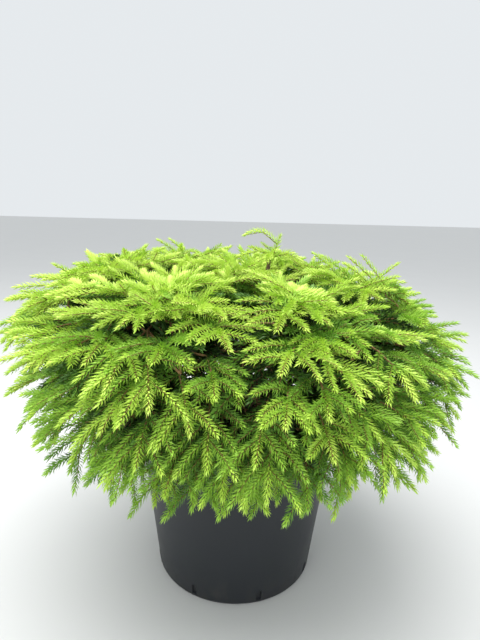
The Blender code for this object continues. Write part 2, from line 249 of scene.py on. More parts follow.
class Finish:
    """One material: a Principled shader and the nodes that feed it."""

    def __init__(self, name, **numbers):
        self.material = bpy.data.materials.new(name)
        self.material.use_nodes = True
        self.tree = self.material.node_tree
        self.shader = self.tree.nodes["Principled BSDF"]
        for title, number in numbers.items():
            self.shader.inputs[title.replace("_", " ")].default_value = number
        self.coordinates = None

    def plug(self, socket, value):
        """Sets a socket to a number or colour, or links it."""
        if isinstance(value, Value):
            self.tree.links.new(value.socket, socket)
        elif isinstance(value, bpy.types.NodeSocket):
            self.tree.links.new(value, socket)
        else:
            socket.default_value = value

    def node(self, kind, settings, sockets):
        """Any node: its type, its settings, which are set first, and its sockets' values or links."""
        made = self.tree.nodes.new("ShaderNode" + kind)
        for name, value in settings.items():
            setattr(made, name, value)
        for name, value in sockets.items():
            self.plug(made.inputs[name], value)
        return made

    def place(self):
        """The piece's own coordinates in metres."""
        if self.coordinates is None:
            self.coordinates = self.node("TexCoord", {}, {}).outputs["Object"]
        return self.coordinates

    def stretched(self, x, y, z):
        """The piece's coordinates, each multiplied by its own number."""
        return self.node("VectorMath", {"operation": "MULTIPLY"}, {0: self.place(), 1: (x, y, z)}).outputs[0]

    def noise(self, scale, detail=3.0, roughness=0.55, where=None):
        """Cloudy noise from 0 to 1 with its cells 1 / scale metres across."""
        sockets = {"Vector": where or self.place(), "Scale": scale, "Detail": detail, "Roughness": roughness}
        return Value(self, self.node("TexNoise", {}, sockets).outputs["Fac"])

    def cells(self, scale, where=None):
        """Distance to the nearest of a field of points, 1 / scale metres apart."""
        made = self.node("TexVoronoi", {}, {"Vector": where or self.place(), "Scale": scale})
        return Value(self, made.outputs["Distance"])

    def between(self, value, low, high):
        """0 where the value is under low, 1 where it is over high, smooth between."""
        sockets = {"Value": value, "From Min": low, "From Max": high}
        made = self.node("MapRange", {"interpolation_type": "SMOOTHSTEP"}, sockets)
        return Value(self, made.outputs["Result"])

    def mix(self, factor, first, second):
        """A blend of two colours."""
        return self.node("Mix", {"data_type": "RGBA"}, {0: factor, 6: first, 7: second}).outputs[2]

    def paint(self, colour, roughness=None):
        """Sets or links the base colour, and the roughness where one is given."""
        self.plug(self.shader.inputs["Base Color"], colour)
        if roughness is not None:
            self.plug(self.shader.inputs["Roughness"], roughness)

    def emboss(self, height, distance, strength=1.0):
        """Bump from a height, with distance as the depth of a height of 1."""
        made = self.node("Bump", {}, {"Height": height, "Distance": distance, "Strength": strength})
        self.plug(self.shader.inputs["Normal"], made.outputs["Normal"])


def shade(colour, factor):
    """A base colour as four numbers, made lighter or darker."""
    return (*(min(1.0, part * factor) for part in colour), 1.0)


def pot_finish(colours):
    """Satin black plastic: cloudy gloss, fine grain, faint upright scuffs and dust towards the foot."""
    made = Finish("pot_plastic", Metallic=0.0)
    clouds = made.noise(14, 4)
    scuffs = made.between(made.noise(26, 5, 0.7, made.stretched(3.2, 3.2, 0.35)), 0.60, 0.78)
    height = Value(made, made.node("SeparateXYZ", {}, {"Vector": made.place()}).outputs["Z"])
    dust = made.between(0.075 - height, 0.0, 0.075) * made.between(made.noise(55, 6, 0.7), 0.42, 0.72)
    colour = made.mix(clouds * 0.5, shade(colours.pot, 0.85), shade(colours.pot, 1.6))
    colour = made.mix(scuffs * 0.22, colour, (0.060, 0.064, 0.070, 1.0))
    colour = made.mix(dust * 0.30, colour, (0.085, 0.075, 0.062, 1.0))
    made.paint(colour, 0.36 + 0.20 * clouds + 0.16 * scuffs + 0.22 * dust)
    made.emboss(made.noise(900, 2) * 0.35 + clouds, 0.0006, 0.6)
    return made.material


def mix_finish(colours):
    """Moist crumbs of peat and bark, with painted shade: darker in the hollows."""
    made = Finish("potting_mix", Metallic=0.0)
    crumbs = made.noise(150, 6, 0.7)
    # Painted shade: the noise that raises the crumbs also lightens them, so the hollows are painted darker; the
    # crumbs' own tone varies with it too
    colour = made.mix(crumbs, shade(colours.mix, 0.45), shade(colours.mix, 2.1))
    made.paint(colour, 0.80 + 0.15 * made.noise(60, 3))
    made.emboss(crumbs + 0.5 * made.cells(260), 0.0025)
    return made.material


def chip_finish(colours):
    """Chips of composted bark."""
    made = Finish("mix_chips", Metallic=0.0)
    grain = made.noise(220, 4, 0.6)
    made.paint(made.mix(grain, shade(colours.mix, 1.2), shade(colours.bark, 1.1)), 0.85)
    made.emboss(grain, 0.0008)
    return made.material


def bark_finish(colours):
    """Scaly bark: grey-brown plates with redder bark in the cracks between them."""
    made = Finish("bark", Metallic=0.0)
    plates = made.cells(190, made.stretched(1.0, 1.0, 0.55))
    cracks = made.between(plates, 0.25, 0.75)
    tone = made.noise(75, 5, 0.65)
    colour = made.mix(tone, shade(colours.bark, 0.65), shade(colours.bark, 1.55))
    colour = made.mix(cracks * 0.65, colour, (0.060, 0.030, 0.017, 1.0))
    made.paint(colour, 0.72 + 0.2 * tone)
    made.emboss(made.noise(420, 4) * 0.4 - cracks, 0.0009)
    return made.material


def plain_finish(name, colour, roughness):
    """One plain colour, as small things joined by the thousand keep it in their own place."""
    made = Finish(name, Metallic=0.0, Roughness=roughness)
    made.paint(shade(colour, 1.0))
    return made.material


def floor_finish(colours):
    """Pale matt floor with hardly any mottling."""
    made = Finish("studio_floor", Metallic=0.0, Roughness=0.9)
    made.paint(made.mix(made.noise(3, 3), shade(colours.floor, 0.98), shade(colours.floor, 1.02)))
    return made.material


def unit(vectors):
    """Each vector divided by its length."""
    return vectors / np.maximum(np.linalg.norm(vectors, axis=-1, keepdims=True), 1e-12)


def lattice_noise(points, scale, seed):
    """Value noise from -1 to 1: hashed numbers on a cubic lattice, blended smoothly between its corners."""
    cells = np.asarray(points) * scale
    low = np.floor(cells).astype(np.int64)
    blend = cells - low
    blend = blend * blend * (3 - 2 * blend)
    total = np.zeros(cells.shape[:-1])
    for corner in itertools.product((0, 1), repeat=3):
        where = low + np.array(corner)
        mixed = (where * np.array([73856093, 19349663, 83492791])).sum(-1) + seed * 7919
        mixed = (mixed ^ (mixed >> 13)) * 1274126177
        number = ((mixed ^ (mixed >> 16)) & 0xFFFF) / 32767.5 - 1.0
        weight = np.where(np.array(corner) == 1, blend, 1 - blend).prod(-1)
        total += number * weight
    return total


def through(points, count):
    """A smooth path through the given points, evenly stepped between them: a Catmull-Rom spline."""
    points = np.asarray(points, float)
    padded = np.concatenate([[2 * points[0] - points[1]], points, [2 * points[-1] - points[-2]]])
    where = np.linspace(0, len(points) - 1 - 1e-9, count)
    low = where.astype(int)
    share = (where - low)[:, None]
    a, b, c, d = (padded[low + step] for step in range(4))
    bend = (2 * a - 5 * b + 4 * c - d) * share**2 + (3 * b - a - 3 * c + d) * share**3
    return 0.5 * (2 * b + (c - a) * share + bend)


def curve_points(curves, share):
    """Points at shares of curves (n, 3, 3), each a start, a control and an end: the quadratic Bezier."""
    share = np.broadcast_to(share, (len(curves), np.shape(share)[-1]))[..., None]
    start, control, end = (curves[:, None, step] for step in range(3))
    return start * (1 - share) ** 2 + 2 * control * share * (1 - share) + end * share**2


def curve_directions(curves, share):
    """Unit directions at the given shares of the same curves."""
    share = np.broadcast_to(share, (len(curves), np.shape(share)[-1]))[..., None]
    start, control, end = (curves[:, None, step] for step in range(3))
    return unit((control - start) * (1 - share) + (end - control) * share)


def axes_round(along, up):
    """For each direction, the unit vectors to its right and over it, square to it."""
    right = unit(np.cross(along, up))
    return right, np.cross(right, along)


def make_mesh(name, points, quads, triangles, smooth=True):
    """A mesh from whole arrays of points, four-sided and three-sided faces."""
    corners = np.concatenate([quads.ravel(), triangles.ravel()]).astype(np.int32)
    sizes = np.concatenate([np.full(len(quads), 4), np.full(len(triangles), 3)])
    starts = np.concatenate([[0], np.cumsum(sizes)[:-1]]).astype(np.int32)
    mesh = bpy.data.meshes.new(name)
    mesh.vertices.add(len(points))
    mesh.vertices.foreach_set("co", np.asarray(points, np.float32).ravel())
    mesh.loops.add(len(corners))
    mesh.loops.foreach_set("vertex_index", corners)
    mesh.polygons.add(len(sizes))
    mesh.polygons.foreach_set("loop_start", starts)
    mesh.polygons.foreach_set("use_smooth", np.full(len(sizes), smooth))
    mesh.update(calc_edges=True)
    return mesh


def new_object(name, data):
    """An object in the scene for a mesh, light or camera."""
    made = bpy.data.objects.new(name, data)
    bpy.context.scene.collection.objects.link(made)
    return made


def add_piece(mesh, material, nodes=()):
    """The mesh as a piece of the object that rides on the root and stands for the named CAD nodes."""
    mesh.materials.append(material)
    piece = new_object(mesh.name, mesh)
    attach(piece, "root")
    if nodes:
        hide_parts(*nodes)


def ring_faces(count, rows, columns):
    """Faces of tubes, each with rows of rings and then two end points: quads along, fans at both ends."""
    size = rows * columns + 2
    row, column = np.meshgrid(np.arange(rows - 1), np.arange(columns), indexing="ij")
    beside = (column + 1) % columns
    low, high = row * columns, (row + 1) * columns
    quads = np.stack([low + column, high + column, high + beside, low + beside], -1).reshape(-1, 4)
    side = np.arange(columns)
    around = (side + 1) % columns
    last = (rows - 1) * columns
    foot = np.stack([np.full(columns, size - 2), side, around], -1)
    tip = np.stack([np.full(columns, size - 1), last + around, last + side], -1)
    shift = (np.arange(count) * size)[:, None, None]
    return (quads[None] + shift).reshape(-1, 4), (np.concatenate([foot, tip])[None] + shift).reshape(-1, 3)


def tubes(centres, along, up, radii, columns):
    """Tubes round middle lines (n, rows, 3): each point is the centre plus the radius times a turning vector.

    radii is (n, rows) or (n, rows, columns). Returns the points and the faces.
    """
    count, rows = centres.shape[:2]
    right, over = axes_round(along, up)
    turn = np.linspace(0, 2 * math.pi, columns, endpoint=False)
    out = right[:, :, None] * np.cos(turn)[:, None] + over[:, :, None] * np.sin(turn)[:, None]
    if radii.ndim == 2:
        radii = np.repeat(radii[..., None], columns, axis=2)
    rings = centres[:, :, None] + out * radii[..., None]
    ends = np.stack([centres[:, 0], centres[:, -1]], 1)
    points = np.concatenate([rings.reshape(count, -1, 3), ends], 1)
    return points.reshape(-1, 3), *ring_faces(count, rows, columns)


def joined(parts):
    """Several (points, quads, triangles) as one."""
    points, quads, triangles, shift = [], [], [], 0
    for some_points, some_quads, some_triangles in parts:
        points.append(some_points)
        quads.append(some_quads + shift)
        triangles.append(some_triangles + shift)
        shift += len(some_points)
    return np.concatenate(points), np.concatenate(quads), np.concatenate(triangles)


def node_points(node):
    """A CAD node's corner points, each once."""
    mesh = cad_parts[node].data
    flat = np.zeros(len(mesh.vertices) * 3, np.float32)
    mesh.vertices.foreach_get("co", flat)
    return np.unique(np.round(flat.reshape(-1, 3), 5), axis=0).astype(float)


def limb_line(node, gap, upright=False):
    """A CAD limb's middle line and radii. Its corner points lie in rings, told apart by the gaps along it."""
    points = node_points(node)
    root = points[np.argmin(np.hypot(points[:, 0], points[:, 1]))]
    far = points[np.argmax(np.linalg.norm(points - root, axis=1))]
    along = points[:, 2] if upright else (points - root) @ unit(far - root)
    order = np.argsort(along)
    rings = np.split(points[order], np.nonzero(np.diff(along[order]) > gap)[0] + 1)
    centres = np.array([ring.mean(0) for ring in rings])
    radii = np.array([np.linalg.norm(ring - ring.mean(0), axis=1).mean() for ring in rings])
    return centres, radii


TRUNK_LINE, TRUNK_RADII = limb_line("trunk", 0.004, upright=True)
BOUGH_LINES = {name: limb_line(name, 0.008) for name in BOUGH_NODES}


def trunk_middle(height):
    """The trunk's middle line at a height."""
    x, y = (np.interp(height, TRUNK_LINE[:, 2], TRUNK_LINE[:, axis]) for axis in range(2))
    return np.array([x, y, height])


def bough_path(name, steps):
    """A bough's middle line from inside the trunk to the CAD limb's end, and its radii."""
    centres, radii = BOUGH_LINES[name]
    inside = centres[0] + 0.7 * (trunk_middle(centres[0][2]) - centres[0])
    line = through(np.concatenate([[inside], centres]), steps)
    marks = np.linspace(0, 1, len(centres) + 1)
    thick = np.concatenate([[radii[0]], radii])
    return line, np.interp(np.linspace(0, 1, steps), marks, thick)


def step_directions(line):
    """Unit directions along a path of points."""
    return unit(np.gradient(line, axis=-2))


def build_trunk(material):
    """The tapered stem on its fluted foot, in scaly bark: the radius times 1 plus two noises."""
    rows, columns = 70, 56
    lobes, flute_depth, flute_height = 5, 0.16, 0.020
    heights = np.linspace(TRUNK_LINE[0, 2], TRUNK_LINE[-1, 2] + 0.004, rows)
    line = np.stack([trunk_middle(height) for height in heights])[None]
    radius = np.interp(heights, TRUNK_LINE[:, 2], TRUNK_RADII)
    radius[-4:] *= np.array([0.98, 0.90, 0.72, 0.40])
    turn = np.linspace(0, 2 * math.pi, columns, endpoint=False)
    flute = 1 + flute_depth * np.exp(-(heights[:, None] - heights[0]) / flute_height) * np.cos(lobes * turn)
    wide = (radius[:, None] * flute)[None]
    along = np.broadcast_to(np.array([0.0, 0.0, 1.0]), line.shape)
    back = np.array([0.0, 1.0, 0.0])
    rough = tubes(line, along, back, wide, columns)[0][:-2].reshape(1, rows, columns, 3)
    scales = np.abs(lattice_noise(rough * (1, 1, 0.6), 170, 1))
    relief = 0.06 * lattice_noise(rough, 70, 2) - 0.075 * (1 - scales) ** 4
    shape = tubes(line, along, back, wide * (1 + relief), columns)
    add_piece(make_mesh("trunk_bark", *shape), material, ["trunk"])


def build_boughs(material):
    """The arching boughs, rough with the stubs of fallen needles: small knobs over the bark."""
    rows, columns = 64, 12
    paths = [bough_path(name, rows) for name in BOUGH_NODES]
    lines = np.stack([line for line, _ in paths])
    radii = np.stack([radius for _, radius in paths])[..., None] * np.ones(columns)
    along = step_directions(lines)
    up = np.array([0.05, 0.08, 1.0])
    rough = tubes(lines, along, up, radii, columns)[0].reshape(len(lines), -1, 3)[:, :-2]
    rough = rough.reshape(len(lines), rows, columns, 3)
    knobs = np.clip(lattice_noise(rough, 210, 3), 0, 1) ** 2
    relief = 0.34 * knobs + 0.10 * lattice_noise(rough, 60, 4)
    shape = tubes(lines, along, up, radii * (1 + relief), columns)
    add_piece(make_mesh("boughs_bark", *shape), material, BOUGH_NODES)


def periodic(azimuth, values):
    """Values given at even azimuths from the skirt's first mass on, blended smoothly between them."""
    first = math.radians(SKIRT_AZIMUTH_DEG)
    step = 2 * math.pi / len(values)
    where = ((azimuth - first) / step) % len(values)
    low = np.floor(where).astype(int)
    share = where - low
    share = share * share * (3 - 2 * share)
    ring = np.array(values)
    return ring[low % len(values)] * (1 - share) + ring[(low + 1) % len(values)] * share


def crown_point(azimuth, polar, crown):
    """The envelope: a superellipse dome over the widest line, and an uneven superellipse skirt under it."""
    over = np.cos(polar)
    above = over > 0
    power = np.where(above, crown.top_power, crown.skirt_power)
    rise = np.where(above, crown.rise, -crown.drop * periodic(azimuth, SKIRT_HANG))
    off = (np.degrees(azimuth) - VALLEY_AZIMUTH_DEG + 180) % 360 - 180
    valley = np.exp(-(off / VALLEY_WIDTH_DEG) ** 2)
    spread = crown.radius - crown.wider_left * np.cos(azimuth) + crown.wider_back * np.sin(azimuth)
    spread = spread * (1 - crown.valley * valley)
    radius = spread * np.abs(np.sin(polar)) ** (2 / power)
    radius = radius * (1 + (periodic(azimuth, SKIRT_REACH) - 1) * np.maximum(0.0, -over))
    x, y = radius * np.cos(azimuth), radius * np.sin(azimuth)
    return np.stack([x, y, crown.widest + rise * np.abs(over) ** (2 / power) - crown.tilt * x], -1)


def crown_core(crown):
    """The crown's middle, which the shaded layers draw in towards."""
    return np.array([0.0, 0.0, crown.widest])


def scattered_tips(crown, spacing, draw, tries=14000):
    """Azimuths and polar angles of points spread evenly over the envelope, none nearer than the spacing.

    Points are drawn in proportion to the area round them, and one too near an earlier one is dropped.
    """
    turns = np.linspace(-math.pi, math.pi, 241)[:-1]
    falls = np.radians(np.linspace(1.5, 136.5, 136))
    azimuth, polar = (grid.ravel() for grid in np.meshgrid(turns, falls, indexing="ij"))
    step = 1e-4
    here = crown_point(azimuth, polar, crown)
    round_step = crown_point(azimuth + step, polar, crown) - here
    down_step = crown_point(azimuth, polar + step, crown) - here
    area = np.linalg.norm(np.cross(round_step, down_step), axis=1)
    chosen = draw.choice(len(azimuth), tries, p=area / area.sum())
    azimuth = azimuth[chosen] + draw.uniform(-0.012, 0.012, tries)
    polar = np.maximum(polar[chosen] + draw.uniform(-0.008, 0.008, tries), 0.02)
    points = crown_point(azimuth, polar, crown)
    kept = []
    for number, point in enumerate(points):
        if not kept or np.min(np.linalg.norm(points[kept] - point, axis=1)) > spacing:
            kept.append(number)
    return azimuth[kept], polar[kept], points[kept]


def grow_fronds(azimuth, polar, tips, length, draw):
    """Each frond's axis as a curve from inside the crown to its tip, and the vector over its flat side.

    In plan it runs away from the nearest fan, and more and more straight outwards down the sides. It leaves
    flatter than it arrives, so it arches over.
    """
    count = len(tips)
    fans = np.array(FANS)
    away = tips[:, None, :2] - fans
    distance = np.linalg.norm(away, axis=2)
    nearest = np.argmin(distance + 0.02 * draw.random(distance.shape), axis=1)
    plan = unit(away[np.arange(count), nearest])
    outward = np.stack([np.cos(azimuth), np.sin(azimuth)], -1)
    side_share = np.clip((np.degrees(polar) - 35) / 60, 0, 0.75)[:, None]
    plan = unit(plan * (1 - side_share) + outward * side_share)
    swing = np.radians(draw.normal(0, 13, count))
    x, y = plan.T
    plan = np.stack([x * np.cos(swing) - y * np.sin(swing), x * np.sin(swing) + y * np.cos(swing)], -1)
    droop = np.interp(np.degrees(polar), DROOP_POLAR_DEG, DROOP_DEG) + draw.normal(0, 7, count)

    def heading(degrees):
        angle = np.radians(degrees)[:, None]
        return np.concatenate([plan * np.cos(angle), -np.sin(angle)], 1)

    long = length[:, None]
    foot = tips - heading(droop - 10) * long
    bend = foot + heading(droop - 30) * long * 0.52
    angle = np.radians(droop - 8)[:, None]
    over = np.concatenate([plan * np.sin(angle), np.cos(angle)], 1)
    right = np.cross(heading(droop), over)
    roll = np.radians(draw.normal(0, 16, count))[:, None]
    return np.stack([foot, bend, tips], 1), over * np.cos(roll) + right * np.sin(roll)


def part_of(curves, low, high):
    """The stretch of each curve between two shares, again as a start, a control and an end."""
    start = curve_points(curves, np.array([low]))[:, 0]
    end = curve_points(curves, np.array([high]))[:, 0]
    direction = curves[:, 1] - curves[:, 0] + (curves[:, 2] - 2 * curves[:, 1] + curves[:, 0]) * low
    return np.stack([start, start + direction * (high - low), end], 1)


def side_shoots(curves, over, length, share, reach, side, draw):
    """A shoot from each frond's axis at a share of its length, leaning forward, then bending on and down."""
    count = len(curves)
    where = share + draw.normal(0, 0.025, count)
    root = curve_points(curves, where[:, None])[:, 0]
    along = curve_directions(curves, where[:, None])[:, 0]
    right, up = axes_round(along, over)
    open_out = np.radians(draw.normal(50, 6, count))[:, None]
    lift = draw.normal(0.10, 0.12, count)[:, None]
    leave = unit(along * np.cos(open_out) + right * side * np.sin(open_out) + up * lift)
    closer = open_out * 0.62
    arrive = along * np.cos(closer) + right * side * np.sin(closer) + up * (lift - 0.08) + (0, 0, -0.16)
    arrive = unit(arrive)
    long = (length * reach * draw.uniform(0.82, 1.15, count))[:, None]
    bend = root + leave * long * 0.5
    return np.stack([root, bend, bend + arrive * long * 0.5], 1), up


def frond_shoots(curves, over, length, light, pairs, draw):
    """All shoots of a set of fronds: the bare-footed axis, side shoots in pairs, and the end shoot.

    Returns a list of (curves, over, light, kind), where light is from 0, dark, to 1, light.
    """
    groups = [
        (part_of(curves, 0.10, 0.64), over, light - 0.30, "axis"),
        (part_of(curves, 0.58, 1.0), over, light + 0.16, "shoot"),
    ]
    for number, (share, reach) in enumerate(pairs):
        for side in (-1, 1):
            keep = draw.random(len(curves)) > 0.09
            where = share + 0.03 * side
            shoots, up = side_shoots(curves[keep], over[keep], length[keep], where, reach, side, draw)
            groups.append((shoots, up, light[keep] + 0.06 * number - 0.08, "shoot"))
    return groups


def crown_sprays(crown, shoots, draw):
    """The outer fronds, whose tips lie on the envelope."""
    azimuth, polar, tips = scattered_tips(crown, shoots.frond_spacing, draw)
    core = crown_core(crown)
    unevenness = np.clip(draw.normal(0.0, 0.006, len(tips)), -0.012, 0.006)
    tips = tips + unit(tips - core) * unevenness[:, None]
    length = shoots.frond_length * draw.uniform(0.82, 1.18, len(tips))
    curves, over = grow_fronds(azimuth, polar, tips, length, draw)
    # Painted light: fronds higher on the crown get lighter needles, as if lit from above, and the lower ones
    # darker, as if in shade; the lower ones are also older
    high = np.clip((tips[:, 2] - 0.30) / 0.28, 0, 1)
    light = 0.48 + 0.36 * high + draw.normal(0, 0.09, len(tips))
    return curves, frond_shoots(curves, over, length, light, OUTER_PAIRS, draw)


def shaded_sprays(crown, shoots, spacing, depth, shown, draw):
    """A layer of fronds under the outer ones, with fewer shoots; its needles are darker, partly as older
    needles and partly as painted shade inside the crown.
    """
    azimuth, polar, tips = scattered_tips(crown, spacing, draw, tries=6000)
    core = crown_core(crown)
    tips = tips - unit(tips - core) * (depth * draw.uniform(0.75, 1.35, len(tips)))[:, None]
    length = shoots.frond_length * draw.uniform(0.8, 1.1, len(tips))
    curves, over = grow_fronds(azimuth, polar, tips, length, draw)
    light = shown + draw.normal(0, 0.06, len(tips))
    return curves, frond_shoots(curves, over, length, light, SHADED_PAIRS, draw)


def leader_sprays():
    """The leader over the nest and the small upright shoots along the top, as arching shoots at given places.

    Each row is a shoot's start, the point it bends towards and its end.
    """
    leader = (
        ((0.046, -0.004, 0.590), (0.060, -0.004, 0.612), (0.067, -0.004, 0.643)),
        ((0.064, -0.004, 0.628), (0.038, -0.010, 0.664), (0.006, -0.012, 0.645)),
        ((0.058, -0.004, 0.610), (0.034, 0.004, 0.624), (-0.004, -0.006, 0.607)),
        ((0.058, -0.004, 0.606), (0.084, -0.012, 0.626), (0.106, -0.016, 0.600)),
        ((0.052, -0.004, 0.600), (0.050, -0.030, 0.618), (0.040, -0.056, 0.602)),
        ((0.056, -0.002, 0.604), (0.066, 0.026, 0.620), (0.072, 0.052, 0.604)),
    )
    front_stems = ((-0.188, 0.03), (-0.094, -0.01), (0.205, 0.02), (0.300, 0.0))
    back_stems = ((0.02, 0.20), (-0.14, 0.22), (-0.02, -0.13))
    rows = [np.array(leader)]
    for number, (x, y) in enumerate(front_stems + back_stems):
        foot = np.array([x, y, 0.562 - 0.058 * x - (0.055 if x > 0.25 else 0.0)])
        turn = 2.4 * number
        top = foot + (0.006 * math.cos(turn), 0.006 * math.sin(turn), 0.036)
        rows.append(np.array([[foot, foot + (0, 0, 0.02), top]]))
        for arm in range(3):
            angle = turn + arm * 2.1
            way = np.array([math.cos(angle), math.sin(angle), 0.0])
            start = foot + (0, 0, 0.012)
            bend = start + way * 0.028 + (0, 0, 0.016)
            rows.append(np.array([[start, bend, start + way * 0.056 + (0, 0, 0.010)]]))
    curves = np.concatenate(rows)
    over = np.tile(np.array([0.02, -0.25, 1.0]), (len(curves), 1))
    steep = unit(curves[:, 2] - curves[:, 0])[:, 2] > 0.8
    over[steep] = (0.0, -1.0, 0.25)
    return [(curves, unit(over), np.full(len(curves), 0.86), "shoot")]


def needle_arrays(curves, over, light, count, fullness, shoots, draw):
    """The needles of a set of shoots, as (points, light): four corners a needle.

    They stand round the shoot's upper side in a golden-angle spiral, and lean forward more and more
    towards its tip. A needle is a keeled kite: foot, tip and two shoulders raised over its underside.
    """
    number = np.arange(count)
    share = np.broadcast_to((number + 0.5) / count, (len(curves), count))
    share = np.clip(share + draw.normal(0, 0.25 / count, share.shape), 0.01, 0.995)
    foot = curve_points(curves, share)
    along = curve_directions(curves, share)
    right, up = axes_round(along, over[:, None])
    spiral = (number * GOLDEN_TURN) % 1.0 + draw.uniform(-0.03, 0.03, share.shape)
    turn = np.radians(NEEDLE_ARC_DEG) * (spiral - 0.5)
    lean = shoots.needle_spread * (1 - 0.30 * share - 0.42 * np.clip((share - 0.86) / 0.14, 0, 1))
    lean = lean + draw.normal(0, 0.07, share.shape)
    round_it = up * np.cos(turn)[..., None] + right * np.sin(turn)[..., None]
    way = along * np.cos(lean)[..., None] + round_it * np.sin(lean)[..., None]
    long = shoots.needle_length * fullness * (0.72 + 0.30 * np.sin(math.pi * np.clip(share, 0.08, 0.86)))
    long = (long * draw.uniform(0.88, 1.10, share.shape))[..., None]
    lift = unit(round_it - way * np.sum(round_it * way, -1, keepdims=True))
    across = np.cross(lift, way)
    half = shoots.needle_width / 2 * fullness**2 * draw.uniform(0.9, 1.15, share.shape)[..., None]
    middle = foot + way * long * 0.42 + lift * half * 0.7
    corners = np.stack([foot, foot + way * long, middle + across * half, middle - across * half], 2)
    shown = light[:, None] + np.where(share < 0.22, -0.13, 0.0) + np.where(share > 0.80, 0.07, 0.0)
    return corners.reshape(-1, 4, 3), shown.ravel()


def needle_mesh(name, corners):
    """Needles as closed four-faced kites, from their corners (n, 4, 3)."""
    foot, tip, left, right = range(4)
    faces = np.array([(foot, right, left), (left, right, tip), (foot, left, tip), (foot, tip, right)])
    triangles = (faces[None] + 4 * np.arange(len(corners))[:, None, None]).reshape(-1, 3)
    return make_mesh(name, corners.reshape(-1, 3), np.zeros((0, 4), int), triangles, smooth=False)


def branchlets(fronds):
    """Curves from each frond's foot to the limb that bears it, at a bough point that is near and further in."""
    paths = [bough_path(name, 24)[0] for name in BOUGH_NODES]
    ways = np.concatenate([step_directions(path)[8:] for path in paths])
    places = np.concatenate([path[8:] for path in paths])
    feet = fronds[:, 0]
    apart = np.linalg.norm(feet[:, None] - places, axis=2)
    beyond = np.hypot(*places[:, :2].T) - np.hypot(*feet[:, :2].T)[:, None]
    bearer = np.argmin(apart + 1.5 * np.maximum(0.0, beyond + 0.01), axis=1)
    start = places[bearer]
    long = np.linalg.norm(feet - start, axis=1, keepdims=True)
    return np.stack([start, start + ways[bearer] * long * 0.45, feet], 1)


def curve_tubes(curves, rows, columns, thick, thin):
    """Tapering tubes along curves."""
    share = np.linspace(0, 1, rows)
    radii = np.broadcast_to(thick + (thin - thick) * share, (len(curves), rows))
    up = np.array([0.11, 0.07, 1.0])
    return tubes(curve_points(curves, share), curve_directions(curves, share), up, radii, columns)


def build_foliage(crown, shoots, colours):
    """Grows the crown: fronds on and under the envelope, the leader, the twigs that bear them, and needles."""
    draw = np.random.default_rng(SEED)
    curves, groups = crown_sprays(crown, shoots, draw)
    fronds, layers = [curves], [(groups, 1.0, 1.0)]
    for wider, deeper, shown, scarce, fullness in SHADED_LAYERS:
        spacing, depth = shoots.inner_spacing * wider, shoots.inner_depth * deeper
        curves, groups = shaded_sprays(crown, shoots, spacing, depth, shown, draw)
        fronds.append(curves)
        layers.append((groups, scarce, fullness))
    layers.append((leader_sprays(), 1.0, 1.0))

    counts = {"shoot": shoots.needle_count, "axis": shoots.needle_count // 2}
    corners, light, shoot_curves = [], [], []
    for groups, scarce, fullness in layers:
        for curves, over, shown, kind in groups:
            count = int(counts[kind] * scarce)
            some, some_light = needle_arrays(curves, over, shown, count, fullness, shoots, draw)
            corners.append(some)
            light.append(some_light)
            if kind == "shoot":
                shoot_curves.append(curves)
    corners, light = np.concatenate(corners), np.concatenate(light)

    fronds = np.concatenate(fronds)
    twigs = [curve_tubes(branchlets(fronds), 6, 5, 0.0026, 0.0017), curve_tubes(fronds, 5, 5, 0.0017, 0.0009)]
    twigs += [curve_tubes(curves, 3, 3, 0.0010, 0.0006) for curves in shoot_curves]
    twig_bark = plain_finish("twig_bark", colours.twig, 0.7)
    add_piece(make_mesh("twigs", *joined(twigs)), twig_bark, FOLIAGE_NODES)

    # Each needle's lightness, with its painted light from above and painted shade inside the crown, picks its
    # tint
    level = np.clip(((1 - light) * len(TINTS)).astype(int), 0, len(TINTS) - 1)
    for number, tint in enumerate(TINTS):
        material = plain_finish("needles_" + tint, getattr(colours, tint), 0.48)
        mine = corners[level == number]
        for part, some in enumerate(np.array_split(mine, max(1, math.ceil(len(mine) / NEEDLES_IN_PIECE)))):
            if len(some):
                add_piece(needle_mesh(f"needles_{tint}_{part + 1}", some), material, FOLIAGE_NODES)
    return len(corners)


def slot_depth(around, height, pot):
    """How deep the wall is cut at a place: 1 in a drain slot, 0 outside, and a low raised lip round it.

    A slot is a bar with an arched top. The distance to its edge is that to the bar under the arch's centre and
    to the arch's circle above it.
    """
    half = pot.slot_width / 2
    spring = pot.slot_high - half
    bar = np.maximum(np.abs(around) - half, pot.slot_low - height)
    arch = np.hypot(around, np.maximum(height - spring, 0)) - half
    edge = np.where(height > spring, arch, bar)
    bevel, lip_out, lip_width = 0.0007, 0.0011, 0.0006
    cut = np.clip(0.5 - edge / bevel, 0, 1)
    lip = np.exp(-(((edge - lip_out) / lip_width) ** 2))
    return cut, lip


